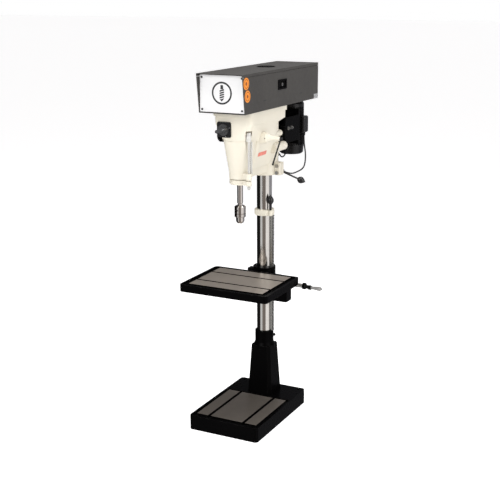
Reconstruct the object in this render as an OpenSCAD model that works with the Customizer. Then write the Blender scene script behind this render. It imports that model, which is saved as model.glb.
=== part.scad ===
/* [Base and column] */
// Width of the base casting, left to right
base_w = 395; // [360:5:430]
// Depth of the base casting, front to back
base_d = 597; // [560:1:640]
// Height of the base casting
base_h = 77; // [70:1:90]
// Diameter of the column
column_d = 80; // [80:1:80]
// Distance of the column axis behind the centre of the base
column_y = 187; // [187:1:187]

/* [Head] */
// Distance from the spindle axis to the column axis
throat = 275; // [275:1:275]
// Stroke of the quill
stroke = 127; // [100:1:127]
// Diameter of the chuck
chuck_d = 57.6; // [52:0.2:60]
// Diameter of the drill that the jaws stand open to
jaw_gap = 10; // [10:0.5:11]
// Length of the feed arm from the hub axis to its tip
feed_arm_l = 149; // [100:1:170]

/* [Belt guard] */
// Width of the belt guard
guard_w = 248; // [240:1:250]
// Height of the top of the guard above the floor
guard_top = 1839; // [1836:1:1845]
// Height of the underside of the guard
guard_z = 1650; // [1650:1:1650]
// Thickness of the sheet metal
sheet = 2; // [1.5:0.5:2.5]

/* [Motor] */
// Distance of the motor axis behind the centre of the base
motor_y = 519; // [519:1:519]
// Radius of the motor's finned frame
motor_r = 68; // [60:1:70]

/* [Table] */
// Width of the table
table_w = 493; // [460:1:500]
// Depth of the table
table_d = 390; // [370:1:390]
// Height of the table's working face above the floor
table_z = 779; // [779:1:779]
// Radius of the elevating crank
crank_r = 75; // [60:1:90]

/* [Hidden] */
$fn = 64;

black = [0.07, 0.07, 0.07];
cream = [0.91, 0.88, 0.81];
steel = [0.62, 0.61, 0.58];
charcoal = [0.25, 0.24, 0.23];

// Shared frame
spindle_y = column_y - throat;
col_r = column_d / 2;
running = 0.08;
gap = 0.4;

// Base
deck_t = 17;
rim_drop = 9;
pad_x = 172;
pad_front = -257;
pad_rear = 100;
slot_x = 100;
slot_w = 16;
slot_under = 28;
anchor_x = 167;
anchor_y = 270;
anchor_r = 7;

// Pedestal and column
socket_z = 245;
shoulder_z = 350;
pedestal_top = 432;
column_top = 1600;
collar_z = 1071;
collar_h = 31;

// Head
quill_r = 36;
quill_z = 1284;
quill_top = 1648;
flat_r = 33;
head_z = 1290;
ear_x = 84;
lever_z = 1302;
knob_x = 49.9;
knob_y = 157.5;
depth_x = 74;
depth_y = -135;
feed_z = 1512;
rack_m = 2.5;
feed_teeth = 22;
feed_pitch_r = rack_m * feed_teeth / 2;
quill_pitch = flat_r - 0.9 * rack_m;
feed_y = spindle_y + quill_pitch + feed_pitch_r;
slide_rod_x = 62;
slide_rod_z = 1500;

// Spindle nose and chuck
nose_r = 15;
chuck_top = 1171;
sleeve_z = 1112;
sleeve_top = 1132;
nose_z = 1083;
jaw_tilt = 16;
jaw_r = 4.5;
jaw_tip_z = 1079;
jaw_l = 32;
jaw_axis_r = jaw_gap / 2 + 2.5;

// Belt drive
groove_h = 16;
front_belt_z = 1712;
rear_belt_z = 1664;
spindle_steps = [92, 78, 64, 50];
idler_front_steps = [48, 62, 76, 90];
idler_rear_steps = [98, 86, 74];
motor_steps = [40, 52, 64];
idler_y = 205;
flange_bolt = 32;
seam_z = 1825;
plate_y = -268;
hinge_x = -guard_w / 2 - 3.4;
hinge_z = seam_z - 0.8;
latch_y = 138;
latch_z = 1761;

// Table, bracket and elevating gear
bracket_z = 655;
bracket_top = 790;
pivot_z = 705;
table_y = -97;
table_h = 38;
table_slot_y = [-12, -171];
rack_x = col_r + 0.6;
rack_t = 14;
rack_pitch_x = rack_x + rack_t - 0.9 * rack_m;
pinion_teeth = 12;
pinion_x = rack_pitch_x + rack_m * pinion_teeth / 2;
crank_y = 120;
crank_z = 727;
crank_x = 258;
grip_l = 56;
worm_r = 9;
wheel_r = 25;
pinion_z = crank_z - wheel_r - worm_r - gap;
arm_drop = -21;
grip_y = crank_y + crank_r * cos(arm_drop);
grip_z = crank_z + crank_r * sin(arm_drop);

// Flat outline of a rectangle with round corners
module round_rect(x0, x1, y0, y1, r) {
    translate([x0 + r, y0]) square([x1 - x0 - 2 * r, y1 - y0]);
    translate([x0, y0 + r]) square([x1 - x0, y1 - y0 - 2 * r]);
    for (x = [x0 + r, x1 - r], y = [y0 + r, y1 - r])
        translate([x, y]) circle(r);
}

// Block with round upright corners
module block(x, y, z, r = 4) {
    translate([0, 0, z[0]]) linear_extrude(z[1] - z[0]) round_rect(x[0], x[1], y[0], y[1], r);
}

// Plain block between two corners
module brick(x, y, z) {
    translate([x[0], y[0], z[0]]) cube([x[1] - x[0], y[1] - y[0], z[1] - z[0]]);
}

// Round bars along each axis
module bar_x(x0, x1, y, z, r) { translate([x0, y, z]) rotate([0, 90, 0]) cylinder(x1 - x0, r, r); }
module bar_y(x, y0, y1, z, r) { translate([x, y0, z]) rotate([-90, 0, 0]) cylinder(y1 - y0, r, r); }
module bar_z(x, y, z0, z1, r) { translate([x, y, z0]) cylinder(z1 - z0, r, r); }
module ring_z(x, y, z0, z1, r, bore) {
    difference() {
        bar_z(x, y, z0, z1, r);
        bar_z(x, y, z0 - 1, z1 + 1, bore);
    }
}

// Turned shape from [radius, height] points
module turned(x, y, points) { translate([x, y, 0]) rotate_extrude() polygon(points); }

// Hexagon head standing on a face, along +Z of its own frame
module hex_head(across, h) { cylinder(h, across / sqrt(3), across / sqrt(3), $fn = 6); }

// Egg-shaped knob on its neck: base at the origin, standing along +Z
module egg_knob(l, r) {
    rotate_extrude() polygon(concat([[0, 0], [r * 0.42, 0]],
        [for (i = [1:11]) let (t = i / 12)
            [r * (0.42 * (1 - t) + 0.8 * sin(180 * pow(t, 0.85))), l * t]],
        [[0, l]]));
}

// Involute gear outline, centred on the origin with a tooth along +X
function involute(rb, t) = let (d = t * 180 / PI)
    [rb * (cos(d) + t * sin(d)), rb * (sin(d) - t * cos(d))];
function turn(p, a) = [p[0] * cos(a) - p[1] * sin(a), p[0] * sin(a) + p[1] * cos(a)];
function polar_angle(p) = atan2(p[1], p[0]);
function gear_points(m, n, play) = let (
        rp = m * n / 2, rb = rp * cos(20), ra = rp + 0.85 * m, rr = rp - 1.1 * m,
        flank = [for (i = [0:4]) let (r = max(rb, rr) + (ra - max(rb, rr)) * i / 4)
            involute(rb, sqrt(pow(r / rb, 2) - 1))],
        half = 90 / n - play / rp * 90 / PI + polar_angle(involute(rb, tan(20))))
    [for (k = [0:n - 1]) each concat(
        [turn([rr, 0], k * 360 / n - half)],
        [for (p = flank) turn(p, k * 360 / n - half)],
        [for (i = [4:-1:0]) turn([flank[i][0], -flank[i][1]], k * 360 / n + half)],
        [turn([rr, 0], k * 360 / n + half)])];

// Rack gap seen along its depth: narrow at the root, wide at the tips
function gap_points(m, play) = let (p = PI * m, root = 1.2 * m, tip = 0.9 * m + 1)
    [[-root, -p / 4 - play / 2 + root * tan(20)], [tip, -p / 4 - play / 2 - tip * tan(20)],
     [tip, p / 4 + play / 2 + tip * tan(20)], [-root, p / 4 + play / 2 - root * tan(20)]];

// Stepped V-pulley: rim, groove and rim for each step, from the bottom up
function step_points(steps, z) = [for (i = [0:len(steps) - 1])
    let (r = steps[i], z0 = z + i * groove_h) each
    [[r + 4, z0], [r + 4, z0 + 1.5], [r - 6, z0 + 3.6], [r - 6, z0 + groove_h - 3.6],
     [r + 4, z0 + groove_h - 1.5], [r + 4, z0 + groove_h]]];
module stepped_pulley(y, z, steps, bore) {
    difference() {
        translate([0, y, 0]) rotate_extrude() polygon(concat(
            [[0, z]], step_points(steps, z), [[0, z + len(steps) * groove_h]]));
        bar_z(0, y, z - 1, z + len(steps) * groove_h + 1, bore);
    }
}

// Flat outline inside a belt that runs round two pulleys
module belt_outline(y0, r0, y1, r1) {
    a = asin((r0 - r1) / (y1 - y0));
    translate([0, y0]) circle(r0);
    translate([0, y1]) circle(r1);
    polygon([[r0 * cos(a), y0 + r0 * sin(a)], [r1 * cos(a), y1 + r1 * sin(a)],
        [-r1 * cos(a), y1 + r1 * sin(a)], [-r0 * cos(a), y0 + r0 * sin(a)]]);
}
module belt(y0, r0, y1, r1, z) {
    translate([0, 0, z + groove_h / 2 - 3.6]) linear_extrude(7.2) difference() {
        belt_outline(y0, r0 + 5, y1, r1 + 5);
        belt_outline(y0, r0 - 4.5, y1, r1 - 4.5);
    }
}

// T-slot cutter running along X, open upward at z = 0
module t_slot(l, w, under, depth) {
    translate([-l / 2, -w / 2, -depth]) cube([l, w, depth + 1]);
    translate([-l / 2, -under / 2, -depth]) cube([l, under, depth * 0.42]);
}

// Square tapered solid between two heights, with its corners cut flat
module tapered_square(z0, h0, z1, h1, corner) {
    side = [[-h0, z0], [h0, z0], [h1, z1], [-h1, z1]];
    diagonal = [for (p = side) [p[0] * corner, p[1]]];
    span = 4 * h0;
    intersection_for (a = [0, 90, 45, -45]) rotate([0, 0, a]) rotate([90, 0, 0])
        translate([0, 0, -span / 2]) linear_extrude(span) polygon(a % 90 == 0 ? side : diagonal);
}

// Sweeps a round lead along its route
function unit(v) = v / norm(v);
function route_dir(p, i) = unit(p[min(i + 1, len(p) - 1)] - p[max(i - 1, 0)]);
function smooth(p, n) = [for (i = [0:len(p) - 2], k = [0:n - 1]) let (t = k / n,
        a = p[max(i - 1, 0)], b = p[i], c = p[i + 1], d = p[min(i + 2, len(p) - 1)])
    0.5 * (2 * b + (c - a) * t + (2 * a - 5 * b + 4 * c - d) * t * t
        + (3 * b - a - 3 * c + d) * t * t * t)];
module lead(points, r, sides = 10) {
    route = concat(smooth(points, 4), [points[len(points) - 1]]);
    n = len(route);
    rings = [for (i = [0:n - 1])
        let (d = route_dir(route, i), u = unit(cross(d, [1, 0.2, 0.1])), v = cross(d, u))
        for (k = [0:sides - 1]) route[i] + r * (cos(k * 360 / sides) * u + sin(k * 360 / sides) * v)];
    walls = [for (i = [0:n - 2], k = [0:sides - 1])
        let (a = i * sides + k, b = i * sides + (k + 1) % sides)
        [a, b, b + sides, a + sides]];
    ends = [[for (k = [sides - 1:-1:0]) k], [for (k = [0:sides - 1]) (n - 1) * sides + k]];
    polyhedron(rings, concat(walls, ends));
}

module base_plate() {
    color(black) difference() {
        block([-base_w / 2, base_w / 2], [-base_d / 2, base_d / 2], [0, base_h], 18);
        // coolant trough round the working face
        difference() {
            block([-base_w / 2 + 12, base_w / 2 - 12], [pad_front - 28, pad_rear + 11],
                [base_h - rim_drop, base_h + 1], 10);
            brick([-pad_x, pad_x], [pad_front, pad_rear], [0, base_h + 2]);
        }
        for (x = [-slot_x, slot_x]) translate([x, (pad_front + pad_rear) / 2, base_h]) rotate([0, 0, 90])
            t_slot(pad_rear - pad_front + 8, slot_w, slot_under, 26);
        // hollow underside, with bosses left round the slots and the anchor holes
        difference() {
            block([-base_w / 2 + 14, base_w / 2 - 14], [-base_d / 2 + 14, base_d / 2 - 14],
                [-1, base_h - deck_t - rim_drop], 8);
            for (x = [-slot_x, slot_x])
                brick([x - 22, x + 22], [pad_front - 16, pad_rear + 16], [36, base_h]);
            for (x = [-anchor_x, anchor_x], y = [-anchor_y, anchor_y]) bar_z(x, y, 0, base_h, 20);
            brick([-base_w / 2, base_w / 2], [60, 76], [24, base_h]);
        }
        for (x = [-anchor_x, anchor_x], y = [-anchor_y, anchor_y]) bar_z(x, y, -1, base_h + 1, anchor_r);
        for (x = [-52, 52], y = [-52, 52]) bar_z(x, column_y + y, 30, base_h + 1, 6.5);
    }
}

module pedestal() {
    color(black) difference() {
        union() {
            translate([0, column_y, 0]) tapered_square(base_h, 72, shoulder_z, 56, 1.24);
            turned(0, column_y, [[0, shoulder_z - 20], [58, shoulder_z - 20], [58, shoulder_z],
                [50, shoulder_z + 15], [50, pedestal_top - 3], [47, pedestal_top], [0, pedestal_top]]);
        }
        difference() {
            translate([0, column_y, 0]) tapered_square(base_h - 1, 60, socket_z - 12, 52, 1.24);
            for (x = [-52, 52], y = [-52, 52]) bar_z(x, column_y + y, base_h - 2, 130, 15);
        }
        bar_z(0, column_y, socket_z, pedestal_top + 1, col_r + 0.05);
        for (x = [-52, 52], y = [-52, 52]) bar_z(x, column_y + y, base_h - 1, 112, 5.1);
        bar_x(col_r - 2, 60, column_y, 408, 5.1);
    }
}

module pedestal_bolts() {
    color(steel) for (x = [-52, 52], y = [-52, 52]) {
        bar_z(x, column_y + y, 50, 108, 5);
        translate([x, column_y + y, 43.5]) hex_head(17, 7);
    }
}

module column() {
    color([0.8, 0.8, 0.8]) ring_z(0, column_y, socket_z + 0.2, column_top, col_r, col_r - 7);
}

module column_lock_bolt() {
    color(black) {
        bar_x(col_r + 0.1, 57, column_y, 408, 5);
        translate([56, column_y, 408]) rotate([0, 90, 0]) hex_head(14, 8);
    }
}

module column_collar() {
    color(cream) difference() {
        union() {
            turned(0, column_y, [[col_r - 2, collar_z], [50, collar_z], [53, collar_z + 3],
                [53, collar_z + collar_h - 3], [50, collar_z + collar_h], [col_r - 2, collar_z + collar_h]]);
            bar_z(knob_x, knob_y, collar_z + 2, collar_z + collar_h, 10);
        }
        bar_z(0, column_y, collar_z - 1, collar_z + collar_h + 1, col_r + 0.05);
        bar_z(knob_x, knob_y, collar_z + 8, collar_z + collar_h + 1, 4.1);
    }
}

// Lock knob screwed into the lug of the collar
module collar_knob() {
    top = collar_z + collar_h;
    color(black) {
        bar_z(knob_x, knob_y, collar_z + 10, top + 2, 4.02);
        bar_z(knob_x, knob_y, top + gap, 1138, 6);
        translate([knob_x, knob_y, 1134]) egg_knob(52, 16.8);
    }
}

// Flat slice of the head, used as an end of its blended walls
module head_slice(w, y0, y1, z, r) { block([-w, w], [y0, y1], [z, z + 1], r, $fn = 32); }

module head_outside() {
    block([-112, 112], [-174, 243], [1624, guard_z - 0.3], 30);
    hull() {
        head_slice(107, -168, 239, 1624, 34);
        head_slice(106, -168, 239, 1586, 34);
        head_slice(98, -165, 150, 1566, 34);
    }
    hull() {
        head_slice(105, -168, 150, 1590, 36);
        head_slice(96, -60, 147, 1500, 30);
        translate([0, spindle_y, 1503]) cylinder(1, 79.5, 79.5, $fn = 32);
    }
    hull() {
        head_slice(97, -60, 148, 1510, 30);
        head_slice(52, -60, 200, 1352, 30);
    }
    translate([0, spindle_y, 1345]) cylinder(1503 - 1345, 55, 81);
    bar_z(0, spindle_y, 1311, 1346, 54);
    bar_z(0, spindle_y, 1350, 1600, 50);
    bar_z(0, column_y, head_z, 1576, 73);
    brick([-46, 46], [spindle_y, column_y], [1313, 1354]);
    block([40, 101], [column_y - 25, column_y + 25], [head_z, 1354], 5);
    for (x = [-slide_rod_x, slide_rod_x]) bar_y(x, 140, 240, slide_rod_z, 17);
    for (x = [-80, 80]) bar_y(x, 120, 250, 1434, 23);
    bar_x(-118, 118, feed_y, feed_z, 28);
    // lug that guides the depth rod
    bar_z(depth_x, depth_y, 1313, 1345, 15);
    translate([0, spindle_y, 1313]) rotate([0, 0, atan2(depth_y - spindle_y, depth_x)])
        translate([30, -13, 0]) cube([norm([depth_x, depth_y - spindle_y]) - 30, 26, 32]);
}

module head_casting() {
    color(cream) difference() {
        head_outside();
        // quill, column and drive bores
        bar_z(0, spindle_y, head_z - 5, guard_z + 1, quill_r + running);
        bar_z(0, column_y, head_z - 5, column_top + 2, col_r + running);
        // clamp slit and its bolts
        brick([col_r - 4, 110], [column_y - 2.5, column_y + 2.5], [head_z - 1, 1356]);
        for (z = [lever_z, 1338]) bar_y(ear_x, column_y - 30, column_y + 30, z, 5.6);
        // core of the casting
        hull() {
            head_slice(94, 10, 126, 1637, 20);
            head_slice(94, 10, 126, 1600, 20);
            head_slice(40, 12, 126, 1372, 20);
        }
        block([-46, 46], [-30, 18], [1372, 1472], 10);
        bar_z(0, column_y, 1360, 1480, 53);
        difference() {
            block([-90, 90], [-150, 2], [1562, 1638], 20);
            bar_z(0, spindle_y, 1560, 1640, 48);
        }
        for (s = [-1, 1]) block([s * 74 - 24, s * 74 + 24], [140, 226], [1588, 1638], 10);
        // feed shaft and its gear pocket
        bar_x(-130, 130, feed_y, feed_z, 12 + running);
        bar_x(-17, 17, feed_y, feed_z, 31);
        // flute for the depth rod and its nuts
        bar_z(depth_x, depth_y, 1345, 1556, 16);
        translate([depth_x, depth_y, 1345]) rotate([0, 0, -58]) translate([0, -16, 0]) cube([60, 32, 211]);
        brick([58, 92], [-124, -108], [1352, 1503]);
        bar_z(depth_x, depth_y, 1300, 1350, 5.5 + running);
        for (x = [-slide_rod_x, slide_rod_x]) bar_y(x, 152, 270, slide_rod_z, 10.1);
        for (x = [-flange_bolt, flange_bolt], y = [-flange_bolt, flange_bolt])
            bar_z(x, spindle_y + y, 1625, guard_z + 1, 4);
        for (x = [-90, 90], y = [-120, 200]) bar_z(x, y, 1630, guard_z + 1, 3.1);
        bar_z(0, idler_y, 1620, guard_z + 1, 8.1);
        for (p = head_glands) bar_y(p[0], 233.9, 270, p[1], gland_r + 0.12);
        label_slab(0.1, 40);
    }
}

module head_clamp_bolts() {
    color(steel) {
        bar_y(ear_x, column_y - 25, column_y + 40, 1338, 5.5);
        translate([ear_x, column_y - 25, 1338]) rotate([90, 0, 0]) hex_head(17, 7.5);
        translate([ear_x, column_y + 25, 1338]) rotate([-90, 0, 0]) hex_head(17, 9);
        bar_y(ear_x, column_y - 25, column_y + 44, lever_z, 5.5);
        translate([ear_x, column_y - 25, lever_z]) rotate([90, 0, 0]) hex_head(17, 7.5);
    }
}

// Clamp lever: hub on the lower clamp bolt, rod drooping outward, egg knob
module head_clamp_lever() {
    color(black) difference() {
        union() {
            bar_y(ear_x, column_y + 25.4, column_y + 42, lever_z, 12.5);
            translate([ear_x, column_y + 33, lever_z]) rotate([0, 90 + 19, 0]) {
                cylinder(100, 4.6, 4.6);
                translate([0, 0, 98]) egg_knob(46, 16.8);
            }
        }
        bar_y(ear_x, column_y + 20, column_y + 50, lever_z, 5.6);
    }
}

// Cover of the quill's return spring, on the left of the feed shaft
module return_spring_cap() {
    color(black) difference() {
        translate([-118.2, feed_y, feed_z]) rotate([0, -90, 0])
            rotate_extrude() polygon([[0, 0], [36, 0], [36, 20], [32, 25], [14, 27], [0, 27]]);
        bar_x(-138, -110, feed_y, feed_z, 12.4);
    }
}

// Open sheet-metal tray that carries the drive, with its front edges raked
module belt_guard() {
    rake = [[-272, guard_z], [-294.5, seam_z - 1.5], [589, seam_z - 1.5], [589, guard_z]];
    color(charcoal) difference() {
        union() {
            for (x = [-guard_w / 2, guard_w / 2 - sheet])
                translate([x, 0, 0]) rotate([90, 0, 90]) linear_extrude(sheet) polygon(rake);
            brick([-guard_w / 2, guard_w / 2], [-272, 589], [guard_z, guard_z + sheet]);
            brick([-guard_w / 2, guard_w / 2], [589 - sheet, 589], [guard_z, seam_z - 1.5]);
            brick([-guard_w / 2, guard_w / 2], [plate_y + 3, plate_y + 3 + sheet],
                [guard_z, guard_top - sheet - 1]);
        }
        // the top corners of the front wall pass inside the lid's skirt
        for (s = [-1, 1])
            translate([s * guard_w / 2, plate_y, seam_z + 10]) cube([6, 40, 23], center = true);
        bar_z(0, spindle_y, guard_z - 1, guard_z + 3, 56);
        bar_z(0, idler_y, guard_z - 1, guard_z + 3, 17);
        bar_z(0, motor_y, guard_z - 1, guard_z + 3, 30);
        for (x = [-90, 90], y = [-120, 200]) bar_z(x, y, guard_z - 1, guard_z + 3, 3.6);
        brick([guard_w / 2 - 3, guard_w / 2 + 1], [latch_y - 40, latch_y + 40],
            [latch_z - 18, latch_z + 18]);
    }
}

// Screws that hold the guard to the head, and the plate to the guard
module guard_screws() {
    color(steel) for (x = [-90, 90], y = [-120, 200]) {
        bar_z(x, y, 1634, guard_z + 3, 3);
        bar_z(x, y, guard_z + sheet, guard_z + sheet + 3.5, 6.5);
    }
    color(steel) for (x = [-108, 108], z = [12, 164]) {
        bar_y(x, plate_y - 2.2, plate_y, 1656 + z, 5);
        bar_y(x, plate_y - 0.5, plate_y + 3, 1656 + z, 2.5);
    }
}

module guard_lid() {
    top = guard_top - sheet;
    color(charcoal) difference() {
        union() {
            brick([-guard_w / 2, guard_w / 2], [-297, 589], [top, guard_top]);
            for (x = [-guard_w / 2, guard_w / 2 - sheet]) brick([x, x + sheet], [-296, 589], [seam_z, top]);
            brick([-guard_w / 2, guard_w / 2], [589 - sheet, 589], [seam_z, top]);
        }
        bar_z(0, idler_y, top - 1, guard_top + 1, 46);
    }
    // strip hung inside the skirt that the latch bears on
    x = guard_w / 2 - sheet - 1.6;
    color(charcoal) brick([x - 2, x], [latch_y - 20, latch_y + 20], [seam_z - 22, top]);
}

// Round plug over the centre pulley
module lid_cap() {
    color(black) turned(0, idler_y, [[0, guard_top - 5], [45.5, guard_top - 5], [45.5, guard_top],
        [49, guard_top], [48, guard_top + 1.6], [45, guard_top + 1.6], [42, guard_top - 2],
        [0, guard_top - 2]]);
}

// Hinge leaf with every other barrel: s = 1 above the seam, -1 below it
module hinge_leaf(s, phase) {
    x = -guard_w / 2 - 1.2;
    brick([x, -guard_w / 2], [-150, 450],
        s > 0 ? [hinge_z + 4.2, hinge_z + 14] : [hinge_z - 17, hinge_z - 4.2]);
    for (i = [0:11]) if (i % 2 == phase) difference() {
        y0 = -150 + i * 50;
        union() {
            bar_y(hinge_x, y0 + 0.3, y0 + 49.7, hinge_z, 3);
            brick([hinge_x + 0.8, -guard_w / 2], [y0 + 0.3, y0 + 49.7],
                s > 0 ? [hinge_z + 1.2, hinge_z + 5] : [hinge_z - 5, hinge_z - 1.2]);
        }
        bar_y(hinge_x, y0 - 1, y0 + 51, hinge_z, 1.6);
    }
}
module lid_hinge() { color(charcoal) hinge_leaf(1, 1); }
module hinge_pin() {
    color(steel) {
        bar_y(hinge_x, -152, 452, hinge_z, 1.52);
        hinge_leaf(-1, 0);
    }
}

module front_plate() {
    color([0.9, 0.9, 0.9]) difference() {
        block([-119.6, 119.6], [0, 176], [0, 3], 3, $fn = 32);
        for (x = [-108, 108], y = [12, 164]) translate([x, y, -1]) cylinder(5, 2.6, 2.6);
    }
}
module upright_front_plate() { translate([0, plate_y + 3, 1656]) rotate([90, 0, 0]) front_plate(); }

module latch_bezel() {
    x = guard_w / 2;
    color(black) difference() {
        translate([x, latch_y, latch_z]) rotate([90, 0, 90]) linear_extrude(3)
            round_rect(-50, 50, -25, 25, 5);
        brick([x - 1, x + 4], [latch_y - 38, latch_y + 38], [latch_z - 16, latch_z + 16]);
    }
    color(black) difference() {
        brick([x - 14, x], [latch_y - 39.7, latch_y + 39.7], [latch_z - 17.7, latch_z + 17.7]);
        brick([x - 12, x + 1], [latch_y - 38, latch_y + 38], [latch_z - 16, latch_z + 16]);
    }
}

// Paddle that is pulled out from below; it turns about its upper edge
module latch_paddle() {
    x = guard_w / 2;
    color([0.55, 0.55, 0.55]) {
        brick([x - 3, x - 0.5], [latch_y - 37, latch_y + 37], [latch_z - 13, latch_z + 8]);
        bar_y(x - 3.5, latch_y - 37, latch_y + 37, latch_z + 11, 3);
        brick([x - 5, x - 2], [latch_y - 37, latch_y + 37], [latch_z + 4, latch_z + 11]);
    }
}

// Two round labels near the front edge of the guard
module safety_discs() {
    color([0.96, 0.54, 0.16]) for (p = [[-256, 1795], [-243, 1735]])
        bar_x(guard_w / 2, guard_w / 2 + 0.6, p[0], p[1], 28.5);
}

module rear_plate() {
    color(steel) brick([guard_w / 2, guard_w / 2 + 1], [536, 584], [guard_z + 2, guard_z + 24]);
}

// Label let into the sloping right-hand wall of the head
module label_slab(extra, out) {
    translate([71.9, -30, 1424]) rotate([0, 16, 0])
        translate([0, -extra, -10 - extra]) cube([out, 90 + 2 * extra, 20 + 2 * extra]);
}
module side_label() { color([0.85, 0.25, 0.2]) label_slab(0, 1.6); }

module switch_plate() {
    color(black) difference() {
        translate([-43, -168, 1560]) rotate([90, 0, 0]) linear_extrude(6) round_rect(-38, 38, -38, 38, 9);
        bar_y(-43, -176, -160, 1560, 6.1);
    }
    color(steel) for (x = [-30, 30], z = [-30, 30]) bar_y(-43 + x, -175.2, -173.5, 1560 + z, 3.4);
}

// Rotary switch: round skirt with a bar across it
module switch_knob() {
    color(black) {
        bar_y(-43, -174.4, -168.4, 1560, 6.02);
        bar_y(-43, -184, -174.4, 1560, 28);
        translate([-43, -183, 1560]) rotate([90, -18, 0])
            linear_extrude(30) round_rect(-29, 29, -8.5, 8.5, 7);
    }
}

module motor_frame() {
    color(black) difference() {
        union() {
            bar_z(0, motor_y, 1392, 1622, motor_r - 7);
            for (a = [0:12:348]) rotate_at([0, motor_y], a)
                translate([motor_r - 9, -1.6, 1400]) cube([8.8, 3.2, 208]);
            turned(0, motor_y, [[0, 1606], [motor_r, 1606], [motor_r, 1622], [motor_r - 8, 1636], [0, 1636]]);
            turned(0, motor_y, [[0, 1386], [motor_r, 1386], [motor_r, 1400], [0, 1400]]);
            block([-40, 40], [motor_y - 76, motor_y - 50], [1420, 1600], 4);
        }
        bar_y(20, motor_y - 76, 464, 1393, lead_r + 0.1);
        bar_z(0, motor_y, 1600, 1640, 9 + running);
    }
}
module rotate_at(p, a) { translate([p[0], p[1], 0]) rotate([0, 0, a]) children(); }

module motor_fan_cowl() {
    color(black) difference() {
        turned(0, motor_y, [[0, 1350], [motor_r - 12, 1350], [motor_r - 3, 1357],
            [motor_r - 1, 1385.8], [0, 1385.8]]);
        turned(0, motor_y, [[0, 1354], [motor_r - 14, 1354], [motor_r - 6, 1360],
            [motor_r - 4, 1386], [0, 1386]]);
        for (r = [18, 30, 42], a = [0:30:330]) rotate_at([0, motor_y], a)
            translate([r, 0, 1340]) cylinder(20, 3.4, 3.4);
    }
}

// Box on a saddle that fits over the fins of the motor
module motor_terminal_box() {
    color(black) difference() {
        block([motor_r - 10, motor_r + 16], [motor_y - 30, motor_y + 30], [1468, 1556], 6);
        bar_z(0, motor_y, 1460, 1560, motor_r + 0.2);
    }
}

// Bracket that carries the motor and slides on the two rods
module motor_bracket() {
    color(black) difference() {
        union() {
            brick([-84, 84], [428, motor_y - 76], [1416, 1604]);
            for (s = [-1, 1]) {
                block([min(s * 40, s * 84), max(s * 40, s * 84)], [252, 430], [1468, 1532], 8);
                brick([min(s * 72, s * 84), max(s * 72, s * 84)], [266, 430], [1440, 1574]);
            }
        }
        for (x = [-slide_rod_x, slide_rod_x]) bar_y(x, 240, 426, slide_rod_z, 10.1);
    }
}

module motor_slide_rods() {
    color(steel) {
        for (x = [-slide_rod_x, slide_rod_x]) bar_y(x, 154, 424, slide_rod_z, 10);
        // lock bolts that hold the bracket on its rods
        for (s = [-1, 1], y = [290, 330]) translate([s * 84, y, slide_rod_z + 18]) rotate([0, s * 90, 0]) {
            hex_head(17, 8);
            cylinder(14, 5, 5);
        }
    }
}

// Routes of the two leads between the motor and the head
main_lead = [[76, 519, 1460], [76, 519, 1450], [76, 519, 1440], [80, 516, 1400],
    [92, 505, 1350], [106, 466, 1305],
    [112, 420, 1286], [110, 360, 1279], [98, 315, 1276], [72, 286, 1287], [52, 268, 1306],
    [46, 260, 1312], [46, 252, 1312], [46, 237, 1312]];
short_lead = [[20, 464, 1393], [20, 452, 1393], [20, 440, 1393], [22, 420, 1384], [28, 380, 1364],
    [36, 340, 1358], [44, 300, 1364], [47, 272, 1380], [46, 260, 1384], [46, 252, 1384], [46, 237, 1384]];
lead_r = 3.8;
gland_r = 7;
head_glands = [[46, 1312], [46, 1384], [-46, 1312]];

module motor_leads() {
    color([0.12, 0.12, 0.12]) {
        lead(main_lead, lead_r);
        lead(short_lead, lead_r);
    }
}

// Glands: three in the back of the head, one under the terminal box
module cord_gland() {
    color(black) difference() {
        union() {
            for (p = head_glands) {
                bar_y(p[0], 234, 256, p[1], gland_r);
                translate([p[0], 251, p[1]]) rotate([-90, 0, 0]) hex_head(17, 6);
            }
            bar_z(76, motor_y, 1452, 1468, gland_r);
        }
        for (p = head_glands) bar_y(p[0], 237, 260, p[1], lead_r + 0.1);
        bar_z(76, motor_y, 1450, 1460, lead_r + 0.1);
    }
}

module motor_pulley() {
    color(steel) {
        bar_z(0, motor_y, 1602, 1700, 9);
        stepped_pulley(motor_y, rear_belt_z, motor_steps, 9);
    }
}

module idler_post() {
    color(steel) {
        bar_z(0, idler_y, 1625, 1790, 8);
        bar_z(0, idler_y, guard_z - 0.3, guard_z + 8, 16);
        bar_z(0, idler_y, 1780, 1786, 14);
    }
}

module idler_pulley() {
    color(steel) union() {
        stepped_pulley(idler_y, rear_belt_z, idler_rear_steps, 8 + running);
        stepped_pulley(idler_y, front_belt_z, idler_front_steps, 8 + running);
    }
}

// Flanged cartridge on top of the head that carries the drive sleeve
module bearing_housing() {
    color(steel) difference() {
        union() {
            bar_z(0, spindle_y, guard_z - 0.3, guard_z + 9, 54);
            bar_z(0, spindle_y, guard_z, 1706, 33);
        }
        bar_z(0, spindle_y, guard_z - 1, 1707, 27.5);
        for (x = [-flange_bolt, flange_bolt], y = [-flange_bolt, flange_bolt])
            bar_z(x, spindle_y + y, guard_z - 2, guard_z + 12, 4.1);
    }
    color(steel) for (x = [-flange_bolt, flange_bolt], y = [-flange_bolt, flange_bolt]) {
        bar_z(x, spindle_y + y, 1630, guard_z + 10, 3.9);
        translate([x, spindle_y + y, guard_z + 9]) hex_head(11, 5);
    }
}

// Stepped pulley on its splined drive sleeve
module spindle_pulley() {
    color(steel) {
        stepped_pulley(spindle_y, front_belt_z, spindle_steps, 15);
        ring_z(0, spindle_y, guard_z + 6, front_belt_z + 78, 15, 11.28);
    }
}

module drive_belts() {
    color(black) {
        belt(spindle_y, spindle_steps[1], idler_y, idler_front_steps[1], front_belt_z + groove_h);
        belt(idler_y, idler_rear_steps[0], motor_y, motor_steps[0], rear_belt_z);
    }
}

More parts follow.
